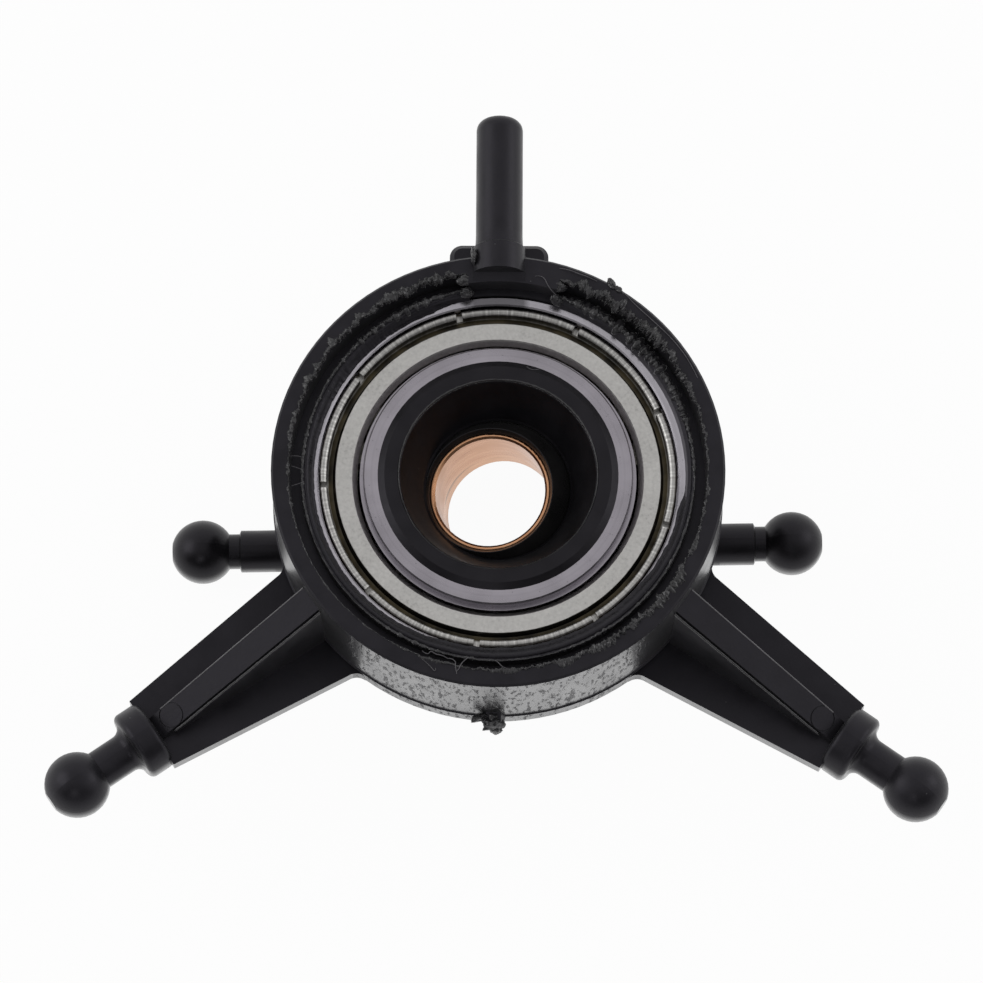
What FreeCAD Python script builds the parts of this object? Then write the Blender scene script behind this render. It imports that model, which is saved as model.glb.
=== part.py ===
"""Swashplate of a small radio-controlled helicopter, in millimetres.

The origin is the centre of the pivot ball. +Z runs up the swashplate's own axis to its
non-rotating side, and +Y points along the anti-rotation pin. The rotor hub's tower is the foot.
Each function returns one piece, and main() writes each piece to its own STEP file.
"""
import FreeCAD
import Part
import math
import os

from FreeCAD import Vector

# Driving dimensions -------------------------------------------------------------------------

# Deep-groove ball bearing, 12 x 21 x 5
BEARING_BORE_R = 6.0
BEARING_OUTER_R = 10.5
BEARING_WIDTH = 5.0
BEARING_TOP = 5.5
RACE_BALL_R = 2.381 / 2
RACE_BALL_COUNT = 12
PITCH_R = (BEARING_BORE_R + BEARING_OUTER_R) / 2
RACE_CLEARANCE = 0.02
GROOVE_R = 1.04 * RACE_BALL_R
OUTER_LAND_R = 9.05
INNER_LAND_R = 7.62
INNER_FACE_R = 7.43
INNER_STEP_DEPTH = 0.6
RACE_CHAMFER = 0.3
FACE_BREAK = 0.08

# Shields, one in each side of the bearing
SHIELD_SHEET = 0.18
SHIELD_INNER_R = 7.95
SHIELD_FLANGE = 0.2
SHIELD_FLANGE_DROP = 0.34
SHIELD_FLAT_R = 8.95
SHIELD_RAMP = 0.16
SHIELD_VALLEY_R = 9.4
SHIELD_OUTER_R = 9.86
SHIELD_PLAY = 0.05
SHIELD_DEPTH = 0.35
VALLEY_DEPTH = 0.75
BEAD_DEPTH = 0.12
CRIMP_COUNT = 9
CRIMP_GAP = 0.34
CRIMP_SINK = 0.06
CRIMP_START = 23.3

# Ribbon cage
CAGE_SHEET = 0.16
CAGE_INNER_R = 7.75
CAGE_OUTER_R = 8.72
POCKET_PLAY = 0.06
RIVET_R = 0.17
RIVET_HEAD = 0.06

# Non-rotating ring
RING_OUTER_R = 12.45
RING_BOTTOM = -0.35
RIM_TOP = 6.7
RIM_INNER_R = 10.9
FLANGE_INNER_R = 9.95
PARTING_HEIGHT = 1.0
PARTING_STEP = 0.08
EDGE_BREAK = 0.12
LIP_INNER_R = 10.3
LIP_TOP = 6.02
LIP_SLOPE = 0.12
GROOVE_INNER_R = 10.8
GROOVE_OUTER_R = 11.5
GROOVE_DRAFT = 0.1
GROOVE_FLOOR = 5.2
STAKE_START = 99.0
STAKE_SWEEP = 334.0

# Arms of the ring, with their link balls
ARM_SLOPE = 35.2
LINK_BALL_R = 1.815
LINK_BALL_REACH = 28.2
LINK_FLAT_R = 0.55
NECK_R = 1.1
COLLAR_R = 2.0
COLLAR_START = 23.05
COLLAR_END = 24.6
COLLAR_ROUND = 0.35
FLARE = 0.55
PLATE_TOP = 0.5
PLATE_ROOT_HALF = 3.5
PLATE_TIP_HALF = 2.2
PLATE_ROOT_ROUND = 0.8
RIB_ROOT = 12.0
RIB_TIP = 22.95
RIB_ROOT_TOP = 5.73
RIB_TIP_TOP = 0.9
RIB_ROOT_HALVES = (1.16, 0.75)
RIB_TIP_HALVES = (0.77, 0.65)
EJECTOR_R = 0.72
EJECTOR_REACH = 21.9
EJECTOR_DEPTH = 0.07
EJECTOR_LINE = 0.06

# Anti-rotation pin and its boss
PIN_R = 1.3
PIN_HEIGHT = 6.3
PIN_TIP = 20.65
PIN_TIP_ROUND = 0.7
PIN_BASE_R = 1.45
PIN_BASE_DRAFT = 0.06
PIN_BASE_START = 11.4
PIN_TOE = 0.15
PIN_BASE_END = 12.94
PIN_STEP = 0.1
PIN_ROOT_END = 13.7
PIN_ROOT_DRAFT = 0.03
BOSS_ROOT = 11.25
BOSS_HALF = 2.75
BOSS_REACH = 13.6
BOSS_TOP = 5.35
BOSS_ROUND = 0.7
BOSS_EDGE = 0.25

# Gate nub left on the ring's front wall
GATE_X = -0.4
GATE_HALF = 0.95
GATE_HALF_HEIGHT = 0.85
GATE_ROOT = 12.15
GATE_REACH = 13.2
GATE_TIP = 0.45
GATE_TIP_SHIFT = 0.3

# Pivot ball and shaft sleeve
PIVOT_R = 4.9
PIVOT_TOP = 3.35
PIVOT_BOTTOM = -3.0
PIVOT_EDGE = 0.04
SLEEVE_OUTER_R = 3.38
SLEEVE_BORE_R = 3.08
SLEEVE_TOP = 3.0
SLEEVE_BOTTOM = -1.82
SLEEVE_CHAMFER = 0.12
BALL_TILT = 9.0
BALL_TILT_HEADING = 197.3

# Rotor hub
HUB_HEADING = 1.2
HUB_BREAK = 0.15
SOCKET_PLAY = 0.05
MOUTH_TOP = 2.9
MOUTH_BREAK = 0.12
MOUTH_BOTTOM = -2.2
FUNNEL_R = 5.38
HUB_LIP_R = 6.62
HUB_LIP_TOP = 5.75
HUB_LIP_FACE_R = 6.25
SHOULDER_R = 7.1
SHOULDER_BOTTOM = -0.7
SHOULDER_SLOPE = 0.4
TOWER_R = 6.75
TOWER_BOTTOM = -9.7
TOWER_BORE_R = 6.02
TOWER_BREAK = 0.2
THROAT_SLOPE = 0.2
THROAT_DROP = 0.6
STUD_HEIGHT = -7.75
STUD_R = 1.2
STUD_ROD_END = 14.75
STUD_NECK_R = 1.0
STUD_BALL_REACH = 16.84
STUD_ROOT = 6.15
STUD_BOSS_R = 1.85
STUD_BOSS_START = 7.35
STUD_BOSS_END = 9.4
STUD_BOSS_TIP_R = 1.35
STUD_STEP = 0.3
STUD_BREAK = 0.1
WEB_ROOT = 6.35
WEB_HALF = 0.6
WEB_TOP = -1.6

# How far a cutting or joining shape runs past the face it meets
OVERRUN = 1.0
SLIGHT_OVERRUN = 0.1

ORIGIN = Vector(0, 0, 0)
AXIS_X = Vector(1, 0, 0)
AXIS_Z = Vector(0, 0, 1)
BEARING_MID = BEARING_TOP - BEARING_WIDTH / 2
BEARING_BOTTOM = BEARING_TOP - BEARING_WIDTH


# Shape helpers ------------------------------------------------------------------------------

def closed_wire(path, place):
    """Wire through path. (a, b) is a corner, and (a, b, c, d) is an arc through a, b to c, d."""
    edges = []
    here = place(*path[0])
    for step in path[1:] + [path[0]]:
        end = place(*step[-2:])
        if len(step) == 4:
            edges.append(Part.Arc(here, place(*step[:2]), end).toShape())
        elif (end - here).Length > 1e-6:
            edges.append(Part.LineSegment(here, end).toShape())
        here = end
    return Part.Wire(edges)


def turned(path, sweep=360.0, start=0.0):
    """Solid turned about Z from a profile of (radius, height) points."""
    face = Part.Face(closed_wire(path, lambda r, z: Vector(r, 0, z)))
    solid = face.revolve(ORIGIN, AXIS_Z, sweep)
    return solid.rotate(ORIGIN, AXIS_Z, start) if start else solid


def turned_on_x(path):
    """Solid turned about X from a profile of (reach, radius) points."""
    face = Part.Face(closed_wire(path, lambda x, r: Vector(x, 0, r)))
    return face.revolve(ORIGIN, AXIS_X, 360)


def slab(path, bottom, top):
    """Solid of a plan outline of (x, y) points, between two heights."""
    face = Part.Face(closed_wire(path, lambda x, y: Vector(x, y, bottom)))
    return face.extrude(Vector(0, 0, top - bottom))


def mirrored_in_bearing(shape):
    """Copy of shape, mirrored in the bearing's middle plane."""
    return shape.mirror(Vector(0, 0, BEARING_MID), AXIS_Z)


def at_heading(shape, heading):
    """Copy of shape, turned about Z."""
    copy = shape.copy()
    copy.rotate(ORIGIN, AXIS_Z, heading)
    return copy


def arc_middle(centre_a, centre_b, radius, angle):
    """Point on a circle at an angle in degrees."""
    turn = math.radians(angle)
    return centre_a + radius * math.cos(turn), centre_b + radius * math.sin(turn)


def ball_profile(reach, neck_r):
    """End of a link stud's profile: the ball from its neck round to its tip flat."""
    start = reach - math.sqrt(LINK_BALL_R ** 2 - neck_r ** 2)
    end = reach + math.sqrt(LINK_BALL_R ** 2 - LINK_FLAT_R ** 2)
    return [(start, neck_r), (reach, LINK_BALL_R, end, LINK_FLAT_R), (end, 0)]


# Ball bearing -------------------------------------------------------------------------------

def ball_groove(inner):
    """Torus that cuts the ball track into a race."""
    side = -1 if inner else 1
    track = PITCH_R + side * (RACE_BALL_R + RACE_CLEARANCE - GROOVE_R)
    return Part.makeTorus(track, GROOVE_R, Vector(0, 0, BEARING_MID), AXIS_Z)


def bearing_outer_race():
    """Outer race with its track and a recess in each side for a shield."""
    half = BEARING_WIDTH / 2
    floor = half - VALLEY_DEPTH - SHIELD_SHEET
    wall = SHIELD_OUTER_R + SHIELD_PLAY
    side = [
        (OUTER_LAND_R, floor),
        (wall, floor),
        (wall, half - FACE_BREAK),
        (wall + FACE_BREAK, half),
        (BEARING_OUTER_R - RACE_CHAMFER / 2, half),
        (BEARING_OUTER_R, half - RACE_CHAMFER / 2),
    ]
    path = side + [(r, -z) for r, z in reversed(side)]
    race = turned([(r, z + BEARING_MID) for r, z in path])
    return race.cut(ball_groove(inner=False))


def bearing_inner_race():
    """Inner race with its track and a stepped shoulder beside each shield."""
    half = BEARING_WIDTH / 2
    side = [
        (BEARING_BORE_R, half - RACE_CHAMFER),
        (BEARING_BORE_R + RACE_CHAMFER, half),
        (INNER_FACE_R - FACE_BREAK, half),
        (INNER_FACE_R, half - FACE_BREAK),
        (INNER_FACE_R, half - INNER_STEP_DEPTH),
        (INNER_LAND_R, half - INNER_STEP_DEPTH),
    ]
    path = side + [(r, -z) for r, z in reversed(side)]
    race = turned([(r, z + BEARING_MID) for r, z in path])
    return race.cut(ball_groove(inner=True))


def bearing_shield():
    """Upper shield: a pressed disc whose edge is rolled up into a bead and notched."""
    flat = BEARING_TOP - SHIELD_DEPTH
    valley = BEARING_TOP - VALLEY_DEPTH
    bead = BEARING_TOP - BEAD_DEPTH
    bead_r = (SHIELD_VALLEY_R + SHIELD_OUTER_R) / 2
    bead_half = (SHIELD_OUTER_R - SHIELD_VALLEY_R) / 2
    flange_end = flat - SHIELD_FLANGE_DROP
    underside_r = SHIELD_INNER_R + SHIELD_SHEET
    disc = turned([
        (SHIELD_INNER_R - SHIELD_FLANGE, flange_end),
        (underside_r - SHIELD_FLANGE, flange_end),
        (underside_r, flat - SHIELD_SHEET),
        (SHIELD_FLAT_R - SHIELD_RAMP, flat - SHIELD_SHEET),
        (SHIELD_FLAT_R, valley - SHIELD_SHEET),
        (SHIELD_OUTER_R, valley - SHIELD_SHEET),
        (SHIELD_OUTER_R, bead - bead_half),
        (bead_r, bead, SHIELD_VALLEY_R, bead - bead_half),
        (SHIELD_VALLEY_R, valley),
        (SHIELD_FLAT_R + SHIELD_RAMP, valley),
        (SHIELD_FLAT_R, flat),
        (SHIELD_INNER_R + FACE_BREAK, flat),
        (SHIELD_INNER_R, flat - FACE_BREAK),
    ])
    corner = Vector(SHIELD_VALLEY_R - CRIMP_SINK, -CRIMP_GAP / 2, valley + CRIMP_SINK)
    notch = Part.makeBox(OVERRUN, CRIMP_GAP, OVERRUN, corner)
    notches = [at_heading(notch, CRIMP_START + i * 360 / CRIMP_COUNT) for i in range(CRIMP_COUNT)]
    return disc.cut(notches)


def race_ball_places():
    """Centres of the bearing's balls."""
    places = []
    for i in range(RACE_BALL_COUNT):
        x, y = arc_middle(0, 0, PITCH_R, i * 360 / RACE_BALL_COUNT)
        places.append(Vector(x, y, BEARING_MID))
    return places


def cage_pocket(radius, place):
    """Cylinder that lies along the bearing's radius, round one ball."""
    outward = Vector(place.x, place.y, 0).normalize()
    start = Vector(0, 0, BEARING_MID) + outward * (CAGE_INNER_R - OVERRUN)
    return Part.makeCylinder(radius, CAGE_OUTER_R - CAGE_INNER_R + 2 * OVERRUN, start, outward)


def bearing_cage():
    """Upper half of the ribbon cage: flats between the balls, and an arched pocket over each."""
    band = turned([
        (CAGE_INNER_R, BEARING_MID),
        (CAGE_OUTER_R, BEARING_MID),
        (CAGE_OUTER_R, BEARING_MID + 2 * RACE_BALL_R),
        (CAGE_INNER_R, BEARING_MID + 2 * RACE_BALL_R),
    ])
    flats = turned([
        (CAGE_INNER_R, BEARING_MID),
        (CAGE_OUTER_R, BEARING_MID),
        (CAGE_OUTER_R, BEARING_MID + CAGE_SHEET),
        (CAGE_INNER_R, BEARING_MID + CAGE_SHEET),
    ])
    inside = RACE_BALL_R + POCKET_PLAY
    arches = [cage_pocket(inside + CAGE_SHEET, place).common(band) for place in race_ball_places()]
    pockets = [cage_pocket(inside, place) for place in race_ball_places()]
    return flats.fuse(arches).cut(pockets + rivet_pattern(RIVET_R, 4 * CAGE_SHEET))


def rivet_pattern(radius, length):
    """Upright cylinders through the cage's flats, one between each pair of balls."""
    middle = (CAGE_INNER_R + CAGE_OUTER_R) / 2
    pin = Part.makeCylinder(radius, length, Vector(middle, 0, BEARING_MID - length / 2))
    step = 360 / RACE_BALL_COUNT
    return [at_heading(pin, (i + 0.5) * step) for i in range(RACE_BALL_COUNT)]


def cage_rivets():
    """Rivets that hold the two halves of the cage together."""
    return Part.makeCompound(rivet_pattern(RIVET_R, 2 * CAGE_SHEET + 2 * RIVET_HEAD))


# Non-rotating ring --------------------------------------------------------------------------

def ring_wall():
    """Ring with the bearing's seat, its lower flange and the staked lip over the bearing."""
    wall = turned([
        (FLANGE_INNER_R, RING_BOTTOM),
        (RING_OUTER_R - EDGE_BREAK, RING_BOTTOM),
        (RING_OUTER_R, RING_BOTTOM + EDGE_BREAK),
        (RING_OUTER_R, PARTING_HEIGHT - PARTING_STEP),
        (RING_OUTER_R + PARTING_STEP, PARTING_HEIGHT),
        (RING_OUTER_R, PARTING_HEIGHT + PARTING_STEP),
        (RING_OUTER_R, RIM_TOP - EDGE_BREAK),
        (RING_OUTER_R - EDGE_BREAK, RIM_TOP),
        (RIM_INNER_R, RIM_TOP),
        (RIM_INNER_R, BEARING_TOP),
        (BEARING_OUTER_R, BEARING_TOP),
        (BEARING_OUTER_R, BEARING_BOTTOM),
        (FLANGE_INNER_R, BEARING_BOTTOM),
    ])
    groove = turned([
        (GROOVE_INNER_R, GROOVE_FLOOR),
        (GROOVE_OUTER_R - GROOVE_DRAFT, GROOVE_FLOOR),
        (GROOVE_OUTER_R, RIM_TOP + SLIGHT_OVERRUN),
        (GROOVE_INNER_R, RIM_TOP + SLIGHT_OVERRUN),
    ], STAKE_SWEEP, STAKE_START)
    lip = turned([
        (LIP_INNER_R, BEARING_TOP),
        (BEARING_OUTER_R, BEARING_TOP),
        (BEARING_OUTER_R, GROOVE_FLOOR),
        (GROOVE_INNER_R + GROOVE_DRAFT / 2, GROOVE_FLOOR),
        (GROOVE_INNER_R - GROOVE_DRAFT / 2, LIP_TOP),
        (LIP_INNER_R + LIP_SLOPE, LIP_TOP - LIP_SLOPE),
    ], STAKE_SWEEP, STAKE_START)
    return wall.cut(groove).fuse(lip)


def arm_plate():
    """Flat web of an arm along +X, rounded into the ring's wall on both sides."""
    rounding = PLATE_ROOT_ROUND
    centre_y = PLATE_ROOT_HALF + rounding
    centre_x = math.sqrt((RING_OUTER_R + rounding) ** 2 - centre_y ** 2)
    wall_angle = 180 + math.degrees(math.atan2(centre_y, centre_x))
    wall_x, wall_y = arc_middle(centre_x, centre_y, rounding, wall_angle)
    bend_x, bend_y = arc_middle(centre_x, centre_y, rounding, (wall_angle + 270) / 2)
    tip = COLLAR_START + 2 * SLIGHT_OVERRUN
    return slab([
        (wall_x - OVERRUN, -wall_y),
        (wall_x - OVERRUN, wall_y),
        (wall_x, wall_y),
        (bend_x, bend_y, centre_x, PLATE_ROOT_HALF),
        (tip, PLATE_TIP_HALF),
        (tip, -PLATE_TIP_HALF),
        (centre_x, -PLATE_ROOT_HALF),
        (bend_x, -bend_y, wall_x, -wall_y),
    ], RING_BOTTOM, PLATE_TOP)


def rib_section(reach, halves, top):
    """Cross-section of the arm's rib, wider at its foot than at its top."""
    foot, crest = halves
    corners = [(-foot, 0), (foot, 0), (crest, top), (-crest, top), (-foot, 0)]
    return Part.makePolygon([Vector(reach, y, z) for y, z in corners])


def arm_rib():
    """Upright rib that falls from the rim to the collar, with the ejector's ring on its top."""
    root = rib_section(RIB_ROOT, RIB_ROOT_HALVES, RIB_ROOT_TOP)
    tip = rib_section(RIB_TIP, RIB_TIP_HALVES, RIB_TIP_TOP)
    rib = Part.makeLoft([root, tip], True, True)
    fall = (RIB_ROOT_TOP - RIB_TIP_TOP) / (RIB_TIP - RIB_ROOT)
    height = RIB_TIP_TOP + fall * (RIB_TIP - EJECTOR_REACH)
    up = Vector(fall, 0, 1).normalize()
    low = Vector(EJECTOR_REACH, 0, height) - up * EJECTOR_DEPTH
    disc = Part.makeCylinder(EJECTOR_R, OVERRUN, low, up)
    core = Part.makeCylinder(EJECTOR_R - EJECTOR_LINE, OVERRUN, low, up)
    return rib.cut(disc.cut(core))


def arm_stud():
    """Collar, flared neck and link ball at the end of an arm."""
    shoulder_r = COLLAR_R - COLLAR_ROUND
    flare_x, flare_r = arc_middle(COLLAR_END + FLARE, NECK_R + FLARE, FLARE, 225)
    return turned_on_x([
        (COLLAR_START, 0),
        (COLLAR_START, shoulder_r),
        (*arc_middle(COLLAR_START + COLLAR_ROUND, shoulder_r, COLLAR_ROUND, 135),
         COLLAR_START + COLLAR_ROUND, COLLAR_R),
        (COLLAR_END - COLLAR_ROUND, COLLAR_R),
        (*arc_middle(COLLAR_END - COLLAR_ROUND, shoulder_r, COLLAR_ROUND, 45), COLLAR_END, shoulder_r),
        (flare_x, flare_r, COLLAR_END + FLARE, NECK_R),
    ] + ball_profile(LINK_BALL_REACH, NECK_R))


def swash_arm(heading):
    """One whole arm, turned to its heading."""
    return at_heading(arm_plate().fuse([arm_rib(), arm_stud()]), heading)


def anti_rotation_pin():
    """Pin along +Y with its thicker base, whose toe runs over the rim, and the boss under it."""
    tip_x, tip_r = arc_middle(PIN_TIP - PIN_TIP_ROUND, PIN_R - PIN_TIP_ROUND, PIN_TIP_ROUND, 45)
    pin = turned_on_x([
        (RIM_INNER_R - SLIGHT_OVERRUN, 0),
        (RIM_INNER_R - SLIGHT_OVERRUN, PIN_BASE_R + PIN_BASE_DRAFT),
        (PIN_BASE_END, PIN_BASE_R),
        (PIN_BASE_END + PIN_STEP, PIN_R + PIN_ROOT_DRAFT),
        (PIN_ROOT_END, PIN_R),
        (PIN_TIP - PIN_TIP_ROUND, PIN_R),
        (tip_x, tip_r, PIN_TIP, PIN_R - PIN_TIP_ROUND),
        (PIN_TIP, 0),
    ])
    pin.translate(Vector(0, 0, PIN_HEIGHT))
    pin.rotate(ORIGIN, AXIS_Z, 90)
    above = Part.Face(closed_wire([
        (RIM_INNER_R - OVERRUN, RIM_TOP),
        (RIM_INNER_R, RIM_TOP),
        (PIN_BASE_START, RIM_TOP + PIN_TOE),
        (PIN_BASE_START, RIM_TOP + 2 * PIN_BASE_R),
        (RIM_INNER_R - OVERRUN, RIM_TOP + 2 * PIN_BASE_R),
    ], lambda y, z: Vector(-2 * PIN_BASE_R, y, z)))
    pin = pin.cut(above.extrude(Vector(4 * PIN_BASE_R, 0, 0)))
    side = BOSS_HALF - BOSS_ROUND
    back = BOSS_REACH - BOSS_ROUND
    round_x, round_y = arc_middle(side, back, BOSS_ROUND, 45)
    boss = slab([
        (-BOSS_HALF, BOSS_ROOT),
        (BOSS_HALF, BOSS_ROOT),
        (BOSS_HALF, back),
        (round_x, round_y, side, BOSS_REACH),
        (-side, BOSS_REACH),
        (-round_x, round_y, -BOSS_HALF, back),
    ], RING_BOTTOM, BOSS_TOP)
    top_edges = [edge for edge in boss.Edges if edge.BoundBox.ZMin > BOSS_TOP - SLIGHT_OVERRUN
                 and edge.BoundBox.YMax > BOSS_ROOT + SLIGHT_OVERRUN]
    return pin.fuse(boss.makeChamfer(BOSS_EDGE, top_edges))


def gate_section(reach, scale, shift):
    """Uneven section of the gate's stub, at a reach in front of the axis."""
    corners = [(-1.0, -0.1), (-0.2, -0.8), (0.8, -0.6), (1.0, 0.1), (0.7, 1.0), (-0.4, 0.9), (-1.0, -0.1)]
    return Part.makePolygon([
        Vector(GATE_X + shift + x * scale * GATE_HALF, -reach, PARTING_HEIGHT + z * scale * GATE_HALF_HEIGHT)
        for x, z in corners])


def gate_nub():
    """Torn stub of the mould's gate on the front wall, at the parting line."""
    root = gate_section(GATE_ROOT, 1.0, 0)
    tip = gate_section(GATE_REACH, GATE_TIP, GATE_TIP_SHIFT)
    return Part.makeLoft([root, tip], True, True)


def swash_ring():
    """Whole non-rotating moulding."""
    arms = [swash_arm(-ARM_SLOPE), swash_arm(180 + ARM_SLOPE)]
    added = arms + [anti_rotation_pin(), gate_nub()]
    seat = turned([
        (0, BEARING_BOTTOM),
        (BEARING_OUTER_R, BEARING_BOTTOM),
        (BEARING_OUTER_R, BEARING_TOP),
        (RIM_INNER_R, BEARING_TOP),
        (RIM_INNER_R, PIN_HEIGHT + 2 * PIN_BASE_R),
        (0, PIN_HEIGHT + 2 * PIN_BASE_R),
    ])
    outside = [shape.cut(seat) for shape in added]
    return ring_wall().fuse(outside).removeSplitter()


# Rotor hub, pivot ball and sleeve -----------------------------------------------------------

def hub_body():
    """Hub turned with its snap lip, shoulder, tower, funnel and the tower's bore."""
    socket_r = PIVOT_R + SOCKET_PLAY
    mouth_r = math.sqrt(socket_r ** 2 - MOUTH_TOP ** 2)
    throat_r = math.sqrt(socket_r ** 2 - MOUTH_BOTTOM ** 2)
    return turned([
        (FUNNEL_R, HUB_LIP_TOP - HUB_BREAK),
        (FUNNEL_R + HUB_BREAK, HUB_LIP_TOP),
        (HUB_LIP_FACE_R, HUB_LIP_TOP),
        (HUB_LIP_R, BEARING_TOP),
        (BEARING_BORE_R + RACE_CHAMFER, BEARING_TOP),
        (BEARING_BORE_R, BEARING_TOP - RACE_CHAMFER),
        (BEARING_BORE_R, BEARING_BOTTOM),
        (SHOULDER_R, BEARING_BOTTOM),
        (SHOULDER_R, SHOULDER_BOTTOM),
        (TOWER_R, SHOULDER_BOTTOM - SHOULDER_SLOPE),
        (TOWER_R, TOWER_BOTTOM + TOWER_BREAK),
        (TOWER_R - TOWER_BREAK, TOWER_BOTTOM),
        (TOWER_BORE_R, TOWER_BOTTOM),
        (throat_r + THROAT_SLOPE, MOUTH_BOTTOM - THROAT_DROP),
        (throat_r, MOUTH_BOTTOM),
        (socket_r, 0, mouth_r, MOUTH_TOP),
        (mouth_r + MOUTH_BREAK, MOUTH_TOP + MOUTH_BREAK),
    ])


def hub_stud():
    """Radial stud along +X with its boss, neck and link ball."""
    return turned_on_x([
        (STUD_ROOT, 0),
        (STUD_ROOT, STUD_BOSS_R),
        (STUD_BOSS_START, STUD_BOSS_R),
        (STUD_BOSS_END, STUD_BOSS_TIP_R),
        (STUD_BOSS_END + STUD_STEP, STUD_R),
        (STUD_ROD_END - STUD_BREAK, STUD_R),
        (STUD_ROD_END, STUD_NECK_R),
    ] + ball_profile(STUD_BALL_REACH, STUD_NECK_R))


def hub_web():
    """Upright web over a stud, which stiffens it against the tower."""
    section = [
        (WEB_ROOT, STUD_HEIGHT),
        (STUD_BOSS_END, STUD_HEIGHT),
        (STUD_BOSS_END, STUD_HEIGHT + STUD_NECK_R),
        (TOWER_R, WEB_TOP),
        (WEB_ROOT, WEB_TOP),
    ]
    face = Part.Face(closed_wire(section, lambda x, z: Vector(x, -WEB_HALF, z)))
    return face.extrude(Vector(0, 2 * WEB_HALF, 0))


def rotor_hub():
    """Whole rotating moulding."""
    stud = hub_stud()
    stud.translate(Vector(0, 0, STUD_HEIGHT))
    side = stud.fuse(hub_web())
    hub = hub_body().fuse([side, at_heading(side, 180)]).removeSplitter()
    return at_heading(hub, HUB_HEADING)


def tilted(shape):
    """Copy of shape, leaning as the pivot ball does at rest."""
    heading = math.radians(BALL_TILT_HEADING)
    hinge = Vector(-math.sin(heading), math.cos(heading), 0)
    copy = shape.copy()
    copy.rotate(ORIGIN, hinge, BALL_TILT)
    return copy


def pivot_ball():
    """Ball bored for the sleeve, countersunk above it and relieved in a cone below it."""
    top_r = math.sqrt(PIVOT_R ** 2 - PIVOT_TOP ** 2)
    bottom_r = math.sqrt(PIVOT_R ** 2 - PIVOT_BOTTOM ** 2)
    return tilted(turned([
        (SLEEVE_OUTER_R, SLEEVE_BOTTOM),
        (bottom_r - PIVOT_EDGE, PIVOT_BOTTOM),
        (bottom_r, PIVOT_BOTTOM),
        (PIVOT_R, 0, top_r, PIVOT_TOP),
        (top_r - PIVOT_EDGE, PIVOT_TOP),
        (SLEEVE_OUTER_R, SLEEVE_TOP + PIVOT_EDGE),
    ]))


def shaft_sleeve():
    """Thin sleeve in the ball, rounded outside at its upper rim and chamfered inside."""
    rim = SLEEVE_TOP - SLEEVE_CHAMFER
    rim_r = SLEEVE_OUTER_R - SLEEVE_CHAMFER
    return tilted(turned([
        (SLEEVE_BORE_R, SLEEVE_BOTTOM + SLEEVE_CHAMFER),
        (SLEEVE_BORE_R + SLEEVE_CHAMFER, SLEEVE_BOTTOM),
        (SLEEVE_OUTER_R, SLEEVE_BOTTOM),
        (SLEEVE_OUTER_R, rim),
        (*arc_middle(rim_r, rim, SLEEVE_CHAMFER, 45), rim_r, SLEEVE_TOP),
        (SLEEVE_BORE_R + SLEEVE_CHAMFER, SLEEVE_TOP),
        (SLEEVE_BORE_R, rim),
    ]))


# Assembly -----------------------------------------------------------------------------------

def pieces():
    """Every piece by its node's name."""
    shield = bearing_shield()
    cage = bearing_cage()
    made = {
        "swash_ring": swash_ring(),
        "bearing_outer_race": bearing_outer_race(),
        "bearing_inner_race": bearing_inner_race(),
        "bearing_shield_upper": shield,
        "bearing_shield_lower": mirrored_in_bearing(shield),
        "bearing_cage_upper": cage,
        "bearing_cage_lower": mirrored_in_bearing(cage),
        "cage_rivets": cage_rivets(),
        "rotor_hub": rotor_hub(),
        "pivot_ball": pivot_ball(),
        "shaft_sleeve": shaft_sleeve(),
    }
    for number, place in enumerate(race_ball_places(), 1):
        made["bearing_ball_%02d" % number] = Part.makeSphere(RACE_BALL_R, place)
    return made


def main():
    os.makedirs("parts", exist_ok=True)
    for name, shape in pieces().items():
        shape.exportStep("parts/%s.step" % name)
        print(name, len(shape.Solids), shape.isValid(), round(shape.Volume, 3))


main()
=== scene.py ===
"""Looks of the model helicopter swashplate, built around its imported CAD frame. Metres."""
import math

import bmesh
import bpy
from mathutils import Matrix, Vector, noise


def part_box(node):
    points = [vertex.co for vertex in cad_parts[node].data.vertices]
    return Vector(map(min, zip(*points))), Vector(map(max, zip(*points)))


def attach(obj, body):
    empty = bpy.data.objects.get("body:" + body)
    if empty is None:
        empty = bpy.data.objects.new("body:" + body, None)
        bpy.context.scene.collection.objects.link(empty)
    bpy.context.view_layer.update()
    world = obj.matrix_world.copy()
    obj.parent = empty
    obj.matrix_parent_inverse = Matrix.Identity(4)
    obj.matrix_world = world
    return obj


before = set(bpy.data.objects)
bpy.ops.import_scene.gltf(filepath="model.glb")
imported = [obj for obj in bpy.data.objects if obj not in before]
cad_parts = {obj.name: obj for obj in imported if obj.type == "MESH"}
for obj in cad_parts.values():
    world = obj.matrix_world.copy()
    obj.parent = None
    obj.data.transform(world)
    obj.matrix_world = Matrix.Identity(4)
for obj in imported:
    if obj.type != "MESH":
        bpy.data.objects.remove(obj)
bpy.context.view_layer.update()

MM = 0.001

# Places that the finishes, the torn edges and the stage follow ------------------------------

BEARING_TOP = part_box("bearing_outer_race")[1].z
HUB_LOW, HUB_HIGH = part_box("rotor_hub")
FLOOR_Z = HUB_LOW.z
RIM_TOP_Z = 6.7 * MM
LIP_TOP_Z = 6.02 * MM
PLATE_TOP_Z = 0.5 * MM
WALL_R = 12.45 * MM
GROOVE_WALL_R = 11.5 * MM
LIP_R = 10.8 * MM
FUNNEL_EDGE_R = 5.45 * MM


# Material helpers ----------------------------------------------------------------------------

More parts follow.
